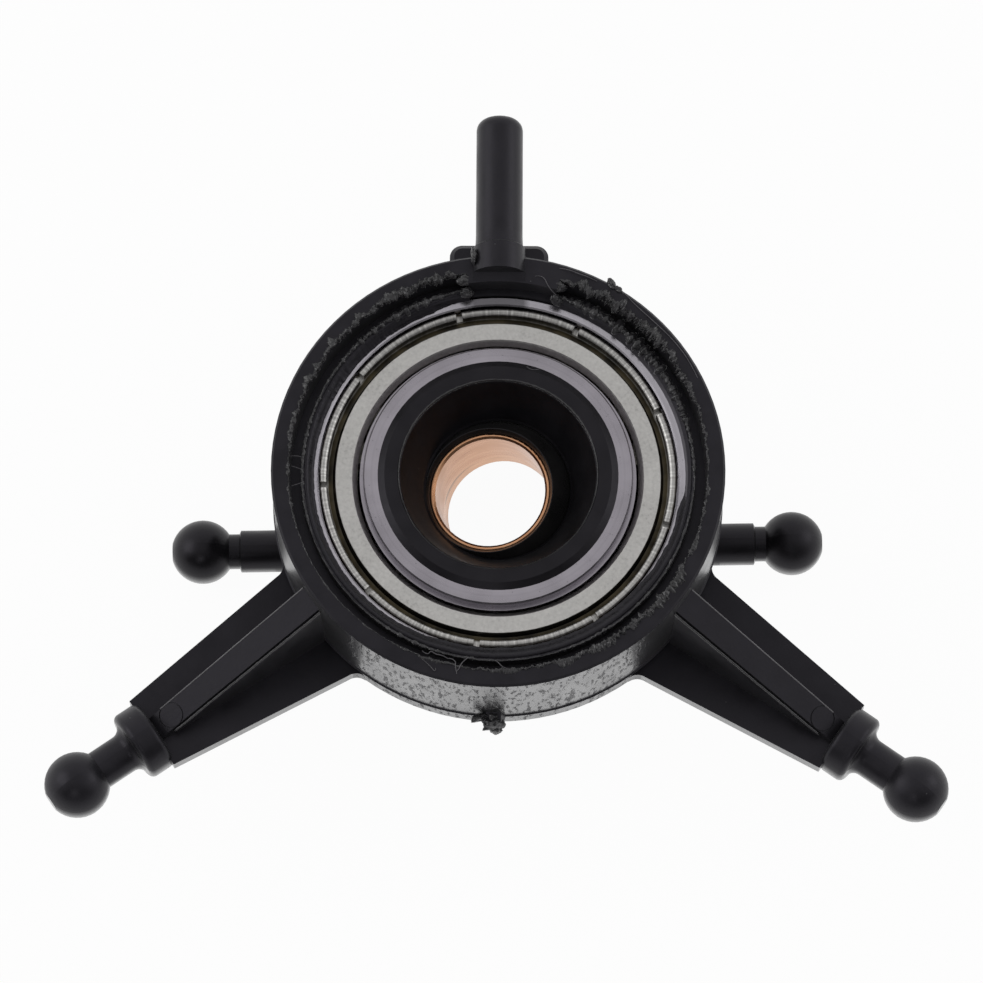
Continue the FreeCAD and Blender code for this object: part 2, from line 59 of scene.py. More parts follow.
class Material:
    """A node material under construction, with one Principled shader."""

    def __init__(self, name):
        self.material = bpy.data.materials.new(name)
        self.material.use_nodes = True
        self.tree = self.material.node_tree
        self.shader = self.tree.nodes["Principled BSDF"]

    def node(self, kind, inputs=(), **settings):
        """New node with its settings, and inputs given as {socket: value or output}."""
        made = self.tree.nodes.new(kind)
        for name, value in settings.items():
            setattr(made, name, value)
        for socket, value in dict(inputs).items():
            self.put(made.inputs[socket], value)
        return made

    def put(self, socket, value):
        """Link an output to a socket, or set its value."""
        if isinstance(value, bpy.types.NodeSocket):
            self.tree.links.new(value, socket)
        else:
            socket.default_value = value

    def set(self, **inputs):
        """Set or link the shader's inputs, with _ for a space in a name."""
        for name, value in inputs.items():
            self.put(self.shader.inputs[name.replace("_", " ")], value)

    def fix(self, **inputs):
        """Set the shader's inputs to constants."""
        for name, value in inputs.items():
            self.shader.inputs[name.replace("_", " ")].default_value = value

    def place(self):
        """Object coordinates."""
        return self.node("ShaderNodeTexCoord").outputs["Object"]

    def axes(self):
        """Object coordinates, one output to each axis."""
        return self.node("ShaderNodeSeparateXYZ", {"Vector": self.place()}).outputs

    def noise(self, scale, detail=3.0, place=None, rough=0.5):
        """Noise from 0 to 1 at a number of cells per metre."""
        made = self.node("ShaderNodeTexNoise", {
            "Vector": place or self.place(), "Scale": scale, "Detail": detail,
            "Roughness": rough})
        return made.outputs["Fac"]

    def ramp(self, value, stops):
        """Colour ramp over a value, with stops of (position, colour or grey)."""
        made = self.node("ShaderNodeValToRGB", {"Fac": value})
        elements = made.color_ramp.elements
        while len(elements) < len(stops):
            elements.new(0.5)
        for element, (position, colour) in zip(elements, stops):
            element.position = position
            grey = not hasattr(colour, "__len__")
            element.color = (colour,) * 3 + (1,) if grey else colour
        return made.outputs["Color"]

    def remap(self, value, low, high, to_low, to_high):
        """Value in low..high brought to to_low..to_high, clamped."""
        made = self.node("ShaderNodeMapRange", {
            "Value": value, "From Min": low, "From Max": high, "To Min": to_low,
            "To Max": to_high})
        return made.outputs["Result"]

    def math(self, operation, first, second=0.0):
        """Math node."""
        made = self.node("ShaderNodeMath", operation=operation)
        self.put(made.inputs[0], first)
        self.put(made.inputs[1], second)
        return made.outputs[0]

    def mix(self, factor, first, second):
        """Mix of two colours."""
        made = self.node("ShaderNodeMix", data_type="RGBA")
        self.put(made.inputs["Factor"], factor)
        self.put(made.inputs["A"], first)
        self.put(made.inputs["B"], second)
        return made.outputs["Result"]

    def bump(self, height, distance, strength=1.0, under=None):
        """Bump normal from a height, over another normal."""
        made = self.node("ShaderNodeBump", {
            "Height": height, "Distance": distance, "Strength": strength})
        if under is not None:
            self.put(made.inputs["Normal"], under)
        return made.outputs["Normal"]

    def radius(self):
        """Distance from the swashplate's axis, and height."""
        axes = self.axes()
        flat = self.math("SQRT", self.math(
            "ADD", self.math("MULTIPLY", axes["X"], axes["X"]),
            self.math("MULTIPLY", axes["Y"], axes["Y"])))
        return flat, axes["Z"]

    def heading(self):
        """Heading round the axis, in radians."""
        axes = self.axes()
        return self.math("ARCTAN2", axes["Y"], axes["X"])

    def aside(self, near, far, to_near, to_far):
        """Value that goes from to_near to to_far between two distances to either side of X = 0."""
        return self.remap(self.math("ABSOLUTE", self.axes()["X"]), near, far, to_near, to_far)

    def bare_wall(self):
        """1 on the upright outer faces of the ring's wall and of the arms' plates."""
        normal = self.node("ShaderNodeTexCoord").outputs["Normal"]
        rise = self.node("ShaderNodeSeparateXYZ", {"Vector": normal}).outputs["Z"]
        upright = self.remap(self.math("ABSOLUTE", rise), 0.08, 0.35, 1.0, 0.0)
        radius, height = self.radius()
        wall = self.math("COMPARE", radius, WALL_R)
        wall.node.inputs[2].default_value = WALL_REACH
        plate = self.math("LESS_THAN", height, PLATE_TOP_Z + PLATE_REACH)
        outside = self.math("GREATER_THAN", radius, WALL_R - WALL_REACH)
        edges = self.math("MULTIPLY", plate, outside)
        return self.math("MULTIPLY", upright, self.math("MAXIMUM", wall, edges))

    def front_wall(self):
        """1 on the ring's wall between the two arms, falling to 0 towards them."""
        middle = self.aside(*FROSTED_X, 1.0, 0.0)
        ahead = self.math("LESS_THAN", self.axes()["Y"], 0.0)
        return self.math("MULTIPLY", self.bare_wall(), self.math("MULTIPLY", middle, ahead))


# Materials -----------------------------------------------------------------------------------

DUST = (0.16, 0.16, 0.165, 1)
SMUDGE = (0.10, 0.055, 0.035, 1)
NO_TINT = (1, 1, 1, 1)
BLACK_TINT = (0.46, 0.44, 0.50, 1)
WALL_REACH = 0.25 * MM
PLATE_REACH = 0.02 * MM
FROSTED_X = (7.4 * MM, 8.4 * MM)
DULLED_X = (4.5 * MM, 8.2 * MM)
PIN_SHADE_X = (1.35 * MM, 1.75 * MM)
PIT_SQUASH = (1.0, 1.0, 0.36)
SHIELD_SPAN_R = (8.8 * MM, 9.92 * MM)
BEAD_START_R = (9.36 * MM, 9.42 * MM)


def tinted(shade, gain):
    """Colour with its red, green and blue scaled."""
    return tuple(min(1.0, c * gain) for c in shade) + (1,)


def black_plastic(name, shade, gloss, sheen=0.06, tint=BLACK_TINT):
    """Moulded black plastic with dust specks, shiny on its outer wall and pitted in front."""
    m = Material(name)
    mottle = m.noise(700, 4)
    colour = m.ramp(mottle, [(0.3, tinted(shade, 0.75)), (0.7, tinted(shade, 1.35))])
    dust = m.node("ShaderNodeTexVoronoi", {"Vector": m.place(), "Scale": 620.0})
    speck = m.remap(dust.outputs["Distance"], 0.0, 0.028, 1.0, 0.0)
    colour = m.mix(speck, colour, DUST)
    normal = m.bump(m.noise(5200, 3), 0.010 * MM, 0.5)
    tall = m.node("ShaderNodeMapping", {"Vector": m.place(), "Scale": PIT_SQUASH})
    pits = m.remap(m.noise(4200, 3, tall.outputs["Vector"], 0.6), 0.53, 0.66, 0.0, 1.0)
    pitted = m.math("MULTIPLY", pits, m.front_wall())
    normal = m.bump(pitted, 0.045 * MM, 1.0, normal)
    normal = m.bump(m.noise(420, 2), 0.04 * MM, 0.3, normal)
    dulled = m.math("MAXIMUM", m.aside(*DULLED_X, 1.0, 0.45),
                    m.math("GREATER_THAN", m.radius()[0], WALL_R + 0.3 * MM))
    shine = m.math("MULTIPLY", m.bare_wall(), dulled)
    m.set(Base_Color=colour,
          Roughness=m.remap(mottle, 0.3, 0.7, gloss - 0.06, gloss + 0.08),
          Normal=normal, Coat_Normal=normal,
          Coat_Weight=m.math("MULTIPLY", shine, m.remap(pitted, 0.2, 0.7, 0.88, 0.0)))
    m.fix(Specular_Tint=tint, Sheen_Weight=sheen, Sheen_Roughness=0.35,
          Coat_Roughness=0.24, Coat_IOR=1.8)
    return m.material


def turned_steel(name, shade, roughness, shaded=False):
    """Ground steel with concentric lines, and painted shade where it lies under the pin's root if
    shaded.
    """
    m = Material(name)
    radius, height = m.radius()
    lines = m.node("ShaderNodeCombineXYZ", {"X": radius, "Y": height, "Z": 0.0}).outputs["Vector"]
    fine = m.noise(22000, 2, lines)
    broad = m.noise(4200, 2, lines)
    stain = m.noise(500, 4)
    blend = m.math("ADD", m.math("MULTIPLY", broad, 0.5), m.math("MULTIPLY", stain, 0.5))
    colour = m.ramp(blend, [(0.35, tinted(shade, 0.84)), (0.65, tinted(shade, 1.12))])
    nick = m.node("ShaderNodeTexVoronoi", {"Vector": m.place(), "Scale": 2600.0})
    nick = m.remap(nick.outputs["Distance"], 0.05, 0.12, 0.55, 0.0)
    colour = m.mix(nick, colour, tinted(shade, 0.35))
    if shaded:
        # Painted shade: the race is darkened where the pin's root stands over it.
        near = m.aside(*PIN_SHADE_X, 1.0, 0.0)
        near = m.math("MULTIPLY", near, m.math("GREATER_THAN", m.axes()["Y"], 0.0))
        colour = m.mix(m.math("MULTIPLY", near, 0.75), colour, tinted(shade, 0.15))
    m.set(Base_Color=colour,
          Roughness=m.remap(stain, 0.3, 0.7, roughness - 0.04, roughness + 0.06),
          Normal=m.bump(fine, 0.004 * MM, 0.5))
    m.fix(Metallic=1.0)
    return m.material


def pressed_steel(name, shade, roughness):
    """Matte pressed sheet with a fine speckle."""
    m = Material(name)
    speckle = m.noise(6500, 4, rough=0.7)
    stain = m.noise(350, 3)
    blend = m.math("ADD", m.math("MULTIPLY", speckle, 0.6), m.math("MULTIPLY", stain, 0.4))
    colour = m.ramp(blend, [(0.35, tinted(shade, 0.8)), (0.65, tinted(shade, 1.14))])
    m.set(Base_Color=colour,
          Roughness=m.remap(speckle, 0.3, 0.7, roughness - 0.05, roughness + 0.08),
          Normal=m.bump(speckle, 0.01 * MM, 0.6))
    m.fix(Metallic=1.0)
    return m.material


def shield_steel(name, shade, roughness):
    """Pressed shield sheet with a drawn, striated bead, and painted shade on the bead and valley.
    """
    m = Material(name)
    radius = m.radius()[0]
    speckle = m.noise(5200, 5, rough=0.75)
    stain = m.noise(350, 3)
    blend = m.math("ADD", m.math("MULTIPLY", speckle, 0.7), m.math("MULTIPLY", stain, 0.3))
    flat = m.ramp(blend, [(0.30, tinted(shade, 0.62)), (0.42, tinted(shade, 0.92)),
                          (0.65, tinted(shade, 1.12))])
    turn = m.math("MULTIPLY", m.heading(), 60.0)
    stria = m.node("ShaderNodeTexNoise", {"W": turn, "Scale": 1.0, "Detail": 3.0},
                   noise_dimensions="1D").outputs["Fac"]
    # Painted shade: the bead's colour is set darker than the flat's; its striations are drawn
    # lines.
    bead = m.ramp(stria, [(0.32, tinted(shade, 0.60)), (0.52, tinted(shade, 0.78)),
                          (0.70, tinted(shade, 1.05))])
    waver = m.math("MULTIPLY", m.math("SUBTRACT", m.noise(1500, 3), 0.5), 0.09 * MM)
    # Painted shade, dark brown, in the valley inside the bead and along the bead's outer edge by
    # the race.
    painted_shade_colour = m.ramp(m.noise(900, 4), [(0.35, (0.010, 0.008, 0.005, 1)),
                                      (0.65, (0.050, 0.040, 0.022, 1))])
    share = m.remap(m.math("ADD", radius, waver), *SHIELD_SPAN_R, 0.0, 1.0)
    painted_shade = m.ramp(share, [(0.10, 0.0), (0.17, 0.86), (0.30, 0.97), (0.47, 1.0), (0.54, 0.55),
                          (0.58, 0.0), (0.80, 0.0), (0.87, 0.75), (0.92, 1.0)])
    on_bead = m.remap(radius, *BEAD_START_R, 0.0, 1.0)
    colour = m.mix(painted_shade, m.mix(on_bead, flat, bead), painted_shade_colour)
    drawn = m.math("MULTIPLY", m.math("MULTIPLY", stria, on_bead), 0.25)
    relief = m.math("ADD", drawn, m.math("MULTIPLY", speckle, 0.7))
    m.set(Base_Color=colour,
          Roughness=m.remap(speckle, 0.3, 0.7, roughness - 0.05, roughness + 0.08),
          Normal=m.bump(relief, 0.012 * MM, 0.6))
    m.fix(Metallic=1.0)
    return m.material


def polished_steel(name):
    """Bearing ball."""
    m = Material(name)
    m.set(Base_Color=m.ramp(m.noise(2500, 2), [(0.3, 0.45), (0.7, 0.55)]),
          Roughness=m.remap(m.noise(1800, 3), 0.3, 0.7, 0.05, 0.14))
    m.fix(Metallic=1.0)
    return m.material


def drawn_copper(name):
    """Copper-coloured sleeve with fine lines round it, pale bands and dark smudges."""
    m = Material(name)
    lean = m.node("ShaderNodeMapping", {
        "Vector": m.place(), "Rotation": (0.0, math.radians(-9), 0.0)}, vector_type="TEXTURE")
    drawn = m.node("ShaderNodeMapping", {
        "Vector": lean.outputs["Vector"], "Scale": (0.08, 0.08, 1.0)}).outputs["Vector"]
    lines = m.noise(7000, 3, drawn)
    bands = m.noise(900, 2, drawn)
    stain = m.noise(700, 5)
    blend = m.math("ADD", m.math("MULTIPLY", lines, 0.30),
                   m.math("ADD", m.math("MULTIPLY", bands, 0.35), m.math("MULTIPLY", stain, 0.35)))
    colour = m.ramp(blend, [
        (0.30, (0.42, 0.19, 0.10, 1)), (0.43, (0.56, 0.28, 0.15, 1)),
        (0.55, (0.66, 0.36, 0.205, 1)), (0.70, (0.74, 0.46, 0.30, 1))])
    smudge = m.remap(m.noise(1600, 2, drawn), 0.70, 0.76, 0.0, 0.6)
    m.set(Base_Color=m.mix(smudge, colour, SMUDGE),
          Roughness=m.remap(stain, 0.3, 0.7, 0.22, 0.36),
          Normal=m.bump(lines, 0.004 * MM, 0.4))
    m.fix(Metallic=1.0)
    return m.material


def floor_white(name):
    """Pale floor that keeps a soft shadow, and looks white to the camera and in reflections."""
    m = Material(name)
    tree = m.tree
    m.set(Base_Color=m.ramp(m.noise(30, 2), [(0.3, 0.86), (0.7, 0.88)]), Roughness=0.9)
    path = m.node("ShaderNodeLightPath").outputs
    seen = m.math("MAXIMUM", path["Is Camera Ray"],
                  m.math("MAXIMUM", path["Is Glossy Ray"], path["Is Transmission Ray"]))
    glow = m.node("ShaderNodeEmission", {"Color": (1, 1, 1, 1), "Strength": 1.0})
    blend = m.node("ShaderNodeMixShader", {0: m.math("MULTIPLY", seen, 0.96)})
    tree.links.new(m.shader.outputs[0], blend.inputs[1])
    tree.links.new(glow.outputs[0], blend.inputs[2])
    tree.links.new(blend.outputs[0], tree.nodes["Material Output"].inputs["Surface"])
    return m.material


def give(node, material):
    """Put a material on every slot of a CAD node."""
    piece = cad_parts[node]
    if not piece.material_slots:
        piece.data.materials.append(material)
    for slot in piece.material_slots:
        slot.material = material


def dress_nodes():
    """Give every CAD node its finish, and the torn edges theirs."""
    ring = black_plastic("ring_plastic", (0.010, 0.0095, 0.0115), 0.36)
    hub = black_plastic("hub_plastic", (0.0055, 0.0051, 0.0060), 0.34, 0.03)
    ball = black_plastic("ball_plastic", (0.010, 0.0095, 0.0095), 0.30)
    ground = turned_steel("inner_ground_steel", (0.355, 0.332, 0.368), 0.26)
    outer = turned_steel("outer_ground_steel", (0.47, 0.45, 0.49), 0.24, shaded=True)
    sheet = shield_steel("shield_sheet", (0.505, 0.495, 0.48), 0.34)
    cage = pressed_steel("cage_sheet", (0.5, 0.47, 0.42), 0.3)
    shine = polished_steel("ball_steel")
    copper = drawn_copper("sleeve_copper")
    torn = black_plastic("torn_plastic", (0.020, 0.019, 0.0215), 0.20, 0.20, NO_TINT)
    pale = black_plastic("shred_plastic", (0.085, 0.080, 0.088), 0.30, 0.20, NO_TINT)
    skin = black_plastic("lip_skin", (0.008, 0.0075, 0.009), 0.30, 0.03)
    tear_edges(torn, skin, pale)
    finish = {
        "swash_ring": ring, "rotor_hub": hub, "pivot_ball": ball,
        "bearing_outer_race": outer, "bearing_inner_race": ground,
        "bearing_shield_upper": sheet, "bearing_shield_lower": sheet,
        "shaft_sleeve": copper,
    }
    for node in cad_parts:
        if node in finish:
            give(node, finish[node])
        elif node.startswith("bearing_ball"):
            give(node, shine)
        else:
            give(node, cage)


# Torn edges ----------------------------------------------------------------------------------
# Headings are in degrees, anticlockwise from the right. Table values are in mm.

STAKE_START = 99.0
STAKE_SWEEP = 334.0
FUNNEL_START = -40.0
TEAR_STEP = 0.045 * MM
TAPERS = 48
SKIRT_FOOT_R = 10.62 * MM
SKIRT_BACK_R = 10.4 * MM

# Dark ring of painted shade beside the lower shield: inner and outer radius, low and high
SHADE_RING_SIZES = (7.47, 7.93, 0.53, 0.63)

# Torn outer edge of the staking groove: heading, width on the rim, height, overhang
OUTER_TEAR = (
    (99, 0.42, 0.20, 0.20), (106, 0.46, 0.20, 0.24), (118, 0.40, 0.16, 0.20),
    (133, 0.30, 0.12, 0.12), (147, 0.42, 0.16, 0.22), (160, 0.28, 0.12, 0.14),
    (180, 0.16, 0.07, 0.06), (192, 0.12, 0.06, 0.07), (205, 0.05, 0.03, 0.02),
    (238, 0.05, 0.03, 0.02), (252, 0.14, 0.06, 0.08), (268, 0.22, 0.08, 0.10),
    (290, 0.28, 0.10, 0.12), (305, 0.34, 0.16, 0.18), (325, 0.34, 0.14, 0.16),
    (345, 0.16, 0.06, 0.08), (362, 0.14, 0.05, 0.06), (378, 0.26, 0.11, 0.16),
    (398, 0.40, 0.18, 0.34), (414, 0.55, 0.27, 0.44), (424, 0.42, 0.21, 0.38),
    (433, 0.36, 0.18, 0.30),
)

# Torn lip over the bearing: heading, width, height, reach over the groove
INNER_TEAR = (
    (99, 0.30, 0.14, 0.06), (112, 0.34, 0.16, 0.14), (135, 0.26, 0.14, 0.12),
    (150, 0.18, 0.07, 0.03), (170, 0.22, 0.08, 0.06), (190, 0.14, 0.06, 0.05),
    (205, 0.06, 0.03, 0.02), (225, 0.07, 0.03, 0.02), (240, 0.16, 0.06, 0.08),
    (258, 0.16, 0.06, 0.07), (280, 0.08, 0.03, 0.03), (300, 0.16, 0.08, 0.06),
    (325, 0.14, 0.06, 0.05), (350, 0.12, 0.05, 0.04), (370, 0.22, 0.10, 0.10),
    (392, 0.38, 0.20, 0.32), (410, 0.44, 0.22, 0.44), (424, 0.40, 0.20, 0.40),
    (433, 0.32, 0.16, 0.26),
)

# Skin of the lip over the bearing's race: heading, inner radius, thickness
LIP_SKIRT = (
    (99, 10.42, 0.03), (104, 10.30, 0.05), (112, 10.12, 0.08), (150, 10.08, 0.10),
    (175, 10.12, 0.09), (190, 10.14, 0.08), (215, 10.14, 0.08), (232, 10.10, 0.08),
    (246, 10.02, 0.09), (254, 9.93, 0.10), (300, 9.92, 0.10), (318, 9.94, 0.10),
    (330, 10.03, 0.09), (342, 10.10, 0.07), (348, 10.06, 0.06), (356, 10.32, 0.05),
    (364, 10.42, 0.03), (433, 10.42, 0.03),
)

# Rough inner edge of the hub's funnel: heading, width, height, overhang
FUNNEL_TEAR = (
    (-40, 0.01, 0.008, 0.01), (0, 0.04, 0.02, 0.03), (40, 0.10, 0.05, 0.08),
    (90, 0.08, 0.05, 0.06), (130, 0.10, 0.05, 0.08), (175, 0.05, 0.03, 0.04),
    (215, 0.01, 0.008, 0.01), (320, 0.01, 0.008, 0.01),
)

# Loose shreds: name, height, half thickness, points in plan
SHREDS = (
    ("shred_by_pin", 6.72, 0.020,
     ((1.99, 11.2), (2.27, 11.23), (2.54, 11.03), (2.65, 10.73), (2.79, 10.5), (2.93, 10.3),
      (3.15, 10.12))),
    ("shred_front_one", 6.72, 0.026,
     ((-2.60, -10.86), (-2.24, -11.0), (-2.28, -11.32), (-2.18, -11.75))),
    ("shred_front_two", 6.72, 0.026,
     ((-1.55, -10.80), (-1.71, -10.95), (-1.96, -11.2), (-2.09, -11.55), (-2.2, -11.6))),
    ("shred_front_three", 6.71, 0.020,
     ((-4.07, -10.91), (-3.63, -11.31), (-3.44, -11.6), (-3.30, -11.58), (-3.34, -11.42))),
    ("shred_front_zigzag", 6.70, 0.028,
     ((-4.07, -10.45), (-3.78, -10.72), (-3.59, -10.45), (-3.35, -10.67), (-2.96, -10.72),
      (-2.67, -10.92), (-2.39, -10.90))),
    ("shred_front_four", 6.71, 0.024,
     ((-0.1, -10.98), (0.04, -11.08), (0.21, -11.3), (0.42, -11.44), (0.67, -11.43))),
    ("shred_left_one", 6.66, 0.018, ((-11.42, 0.62), (-11.12, 0.67), (-10.78, 0.60))),
    ("shred_left_two", 6.60, 0.018, ((-11.34, 0.10), (-11.01, -0.02), (-10.67, -0.15))),
    ("shred_left_three", 6.60, 0.018, ((-11.30, -1.05), (-10.9, -0.98), (-10.62, -0.80))),
    ("torn_line_back", 6.76, 0.024,
     ((3.35, 11.66), (3.8, 11.59), (4.48, 11.28), (4.9, 11.16), (5.42, 10.91))),
    ("torn_line_right", 6.71, 0.022,
     ((6.9, 10.3), (7.26, 9.83), (7.7, 9.36), (8.68, 8.42), (9.67, 7.43), (10.54, 6.21),
      (10.95, 5.3))),
)
FUNNEL_FIBRE = ("funnel_fibre", 5.77, 0.02, ((1.55, 6.22), (1.73, 6.06), (1.96, 6.0), (2.23, 6.08)))
SHRED_ARCH = 0.10
SHRED_THINNING = 0.35

# Torn lumps: name, place, half sizes, turn in degrees, seed
LUMPS = (
    ("rim_shard_back", (6.25, 10.75, 6.74), (0.34, 0.20, 0.17), -58, 3.0),
    ("rim_shard_edge", (6.62, 10.45, 6.72), (0.22, 0.16, 0.10), -40, 8.0),
    ("pin_root_flap", (-1.40, 12.25, 6.95), (0.16, 0.46, 0.34), 6, 12.0),
    ("groove_end_right", (3.35, 10.69, 6.44), (0.40, 0.30, 0.30), -18, 51.0),
    ("lip_end_right", (3.19, 10.06, 6.12), (0.34, 0.26, 0.34), -18, 57.0),
    ("groove_end_left", (-1.87, 11.04, 6.44), (0.40, 0.30, 0.30), 10, 63.0),
    ("lip_end_left", (-1.80, 10.40, 6.12), (0.34, 0.26, 0.34), 10, 69.0),
    ("gate_shard_main", (-0.18, -12.93, 1.25), (0.58, 0.40, 0.60), 18, 21.0),
    ("gate_shard_tip", (-0.98, -12.72, 1.45), (0.42, 0.20, 0.34), 24, 27.0),
    ("gate_shard_low", (-0.06, -13.22, 0.95), (0.34, 0.24, 0.42), -12, 33.0),
)

# Outlines of (outwards, upwards) offsets from a rib's top edge: the flash that stands off its
# front side, and the thin burr along its back, whose pale colour is a painted highlight line
RIB_FLASH = (
    (-0.05, -0.46), (-0.05, -0.26), (0.05, -0.24), (0.10, -0.08), (0.15, -0.04), (0.20, -0.06),
    (0.22, -0.14), (0.17, -0.32), (0.04, -0.46))
RIB_HIGHLIGHT_BURR = ((-0.03, -0.05), (0.035, -0.06), (0.045, 0.0), (0.02, 0.035), (-0.03, 0.025))
RIB_STEPS = 240

# Ends of a rib's top edge in its arm's own frame, and each arm's heading and front side
RIB_EDGE_START = Vector((12.45, 0.745, 5.53))
RIB_EDGE_END = Vector((22.2, 0.655, 1.23))
ARMS = {"right": (-35.2, -1), "left": (215.2, 1)}


def between(table, heading):
    """Row of a table of (heading, values...) at a heading, eased between its stations."""
    for before, after in zip(table, table[1:]):
        if heading <= after[0]:
            share = max(0.0, (heading - before[0]) / (after[0] - before[0]))
            share = share * share * (3 - 2 * share)
            return [a + (b - a) * share for a, b in zip(before[1:], after[1:])]
    return table[-1][1:]


def ragged(place, size, seed):
    """Ragged noise from about -1 to 1 with grains of a size."""
    return noise.fractal(place / size + Vector((seed, 0, seed)), 0.7, 2.1, 4)


def beaded(place, size, seed):
    """Rounded beads from 0 in their creases to 1 on their crowns."""
    near, second = noise.voronoi(place / size + Vector((seed, seed, 0)))[0][:2]
    return min(1.0, (second - near) * 1.8)


def around(radius, height, heading):
    """Point at a radius, height and heading."""
    turn = math.radians(heading)
    return Vector((radius * math.cos(turn), radius * math.sin(turn), height))


def plastic_piece(name, data, material, body, place=(0, 0, 0)):
    """Piece of torn plastic that rides on a body."""
    data.materials.append(material)
    piece = bpy.data.objects.new(name, data)
    piece.location = place
    bpy.context.scene.collection.objects.link(piece)
    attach(piece, body)


def smooth_mesh(name, build):
    """Mesh of a finished bmesh, shaded smooth."""
    for face in build.faces:
        face.smooth = True
    mesh = bpy.data.meshes.new(name)
    build.to_mesh(mesh)
    build.free()
    return mesh


def lofted(name, loops, material, body, closed=False):
    """Closed solid through cross-section loops, capped at its ends unless it runs all round."""
    build = bmesh.new()
    rings = [[build.verts.new(point) for point in loop] for loop in loops]
    joins = list(zip(rings, rings[1:])) + ([(rings[-1], rings[0])] if closed else [])
    for first, second in joins:
        for i in range(len(first)):
            j = (i + 1) % len(first)
            build.faces.new((first[i], first[j], second[j], second[i]))
    if not closed:
        build.faces.new(rings[0])
        build.faces.new(rings[-1])
    bmesh.ops.recalc_face_normals(build, faces=build.faces)
    plastic_piece(name, smooth_mesh(name, build), material, body)


def torn_edge(name, table, profile, start, sweep, radius, material, body,
              closed=False, tapered=True):
    """Ragged strip swept round an edge, its sizes from a table and its section from a profile."""
    steps = round(radius * math.radians(sweep) / TEAR_STEP)
    loops = []
    for i in range(steps if closed else steps + 1):
        heading = start + sweep * i / steps
        scale = 1.0
        if tapered and not closed:
            scale = 0.15 + 0.85 * min(1.0, TAPERS * i / steps, TAPERS * (steps - i) / steps)
        loops.append(profile(heading, [v * MM * scale for v in between(table, heading)]))
    lofted(name, loops, material, body, closed)


def roughened(outline, radius, height, heading, depth, seed):
    """Outline of (outwards, upwards) offsets set at a heading, its free points roughened."""
    loop = []
    for i, (out, up) in enumerate(outline):
        spot = around(radius + out, height + up, heading)
        free = 0 < i < len(outline) - 2
        push = depth * ragged(spot, 0.22 * MM, seed) if free else 0.0
        lift = depth * ragged(spot, 0.13 * MM, seed + 20) if free else 0.0
        loop.append(around(radius + out + push, height + up + lift, heading))
    return loop


def outer_tear_section(heading, sizes):
    """Section of the plastic torn up along the rim's inner edge, which leans over the groove."""
    width, height, over = sizes
    spot = around(GROOVE_WALL_R, RIM_TOP_Z, heading)
    fray = 0.45 + 1.1 * ragged(spot, 0.50 * MM, 3.1) + 0.8 * ragged(spot, 0.14 * MM, 7.7)
    spread = 0.65 + 1.0 * ragged(spot, 0.9 * MM, 11.3) + 0.4 * ragged(spot, 0.2 * MM, 17.9)
    tip = max(0.02, fray) * over
    side = max(0.08, spread) * width
    outline = [
        (0.04 * MM + side, -0.10 * MM), (side, 0.0), (0.75 * side, 0.55 * height),
        (0.45 * side, 0.95 * height), (0.15 * side, 0.80 * height), (-0.35 * tip, 0.95 * height),
        (-0.75 * tip, 0.60 * height), (-tip, 0.10 * height), (-0.80 * tip, -0.9 * height),
        (-0.25 * tip, -1.6 * height), (0.06 * MM, -2.4 * height), (0.16 * MM, -2.4 * height)]
    depth = 0.75 * height + 0.012 * MM
    return roughened(outline, GROOVE_WALL_R, RIM_TOP_Z, heading, depth, 1)


def inner_tear_section(heading, sizes):
    """Section of the lumps along the lip, which hang over the groove's inner side."""
    width, height, over = sizes
    bead = beaded(around(LIP_R, LIP_TOP_Z, heading), 0.42 * MM, 2.0)
    reach = (0.25 + 0.95 * bead) * over
    side = (0.45 + 0.65 * bead) * width
    crown = (0.35 + 0.85 * bead) * height
    outline = [
        (-side - 0.06 * MM, -0.16 * MM), (-side, -0.01 * MM), (-0.85 * side, 0.55 * crown),
        (-0.55 * side, 0.95 * crown), (-0.15 * side, crown), (0.35 * reach, 0.85 * crown),
        (0.8 * reach, 0.45 * crown), (reach, -0.3 * crown), (0.7 * reach, -1.1 * crown),
        (0.1 * reach, -1.7 * crown), (-0.12 * MM, -1.7 * crown)]
    return roughened(outline, LIP_R, LIP_TOP_Z, heading, 0.40 * height + 0.010 * MM, 5)


def skirt_section(heading, sizes):
    """Section of the thin skin of the lip that is pressed out over the bearing's race."""
    inner, thick = sizes
    inner += 0.035 * MM * ragged(around(inner, BEARING_TOP, heading), 0.5 * MM, 31.0)
    low = BEARING_TOP
    run = SKIRT_FOOT_R - inner
    outline = [
        (inner, low), (inner - 0.01 * MM, low + 0.6 * thick), (inner + 0.05 * MM, low + thick),
        (inner + 0.12 * MM, low + 1.25 * thick), (inner + 0.4 * run, low + 0.30 * MM),
        (inner + 0.7 * run, low + 0.43 * MM), (SKIRT_FOOT_R, low + 0.53 * MM),
        (SKIRT_FOOT_R, low + 0.2 * MM), (SKIRT_BACK_R, low)]
    return roughened(outline, 0.0, 0.0, heading, 0.018 * MM, 13)


def funnel_tear_section(heading, sizes):
    """Section of the rough edge round the hub's funnel."""
    width, height, over = sizes
    fray = 0.6 + 0.6 * ragged(around(FUNNEL_EDGE_R, HUB_HIGH.z, heading), 0.35 * MM, 4.2)
    outline = [
        (0.05 * MM + width, -0.08 * MM), (width, 0.0), (0.6 * width, 0.7 * height),
        (0.2 * width, height), (-0.3 * over * fray, 0.6 * height),
        (-over * fray, -0.5 * height), (-0.6 * over, -2 * height),
        (0.02 * MM, -3 * height), (0.10 * MM, -3 * height)]
    return roughened(outline, FUNNEL_EDGE_R, HUB_HIGH.z, heading, 0.35 * height, 9)


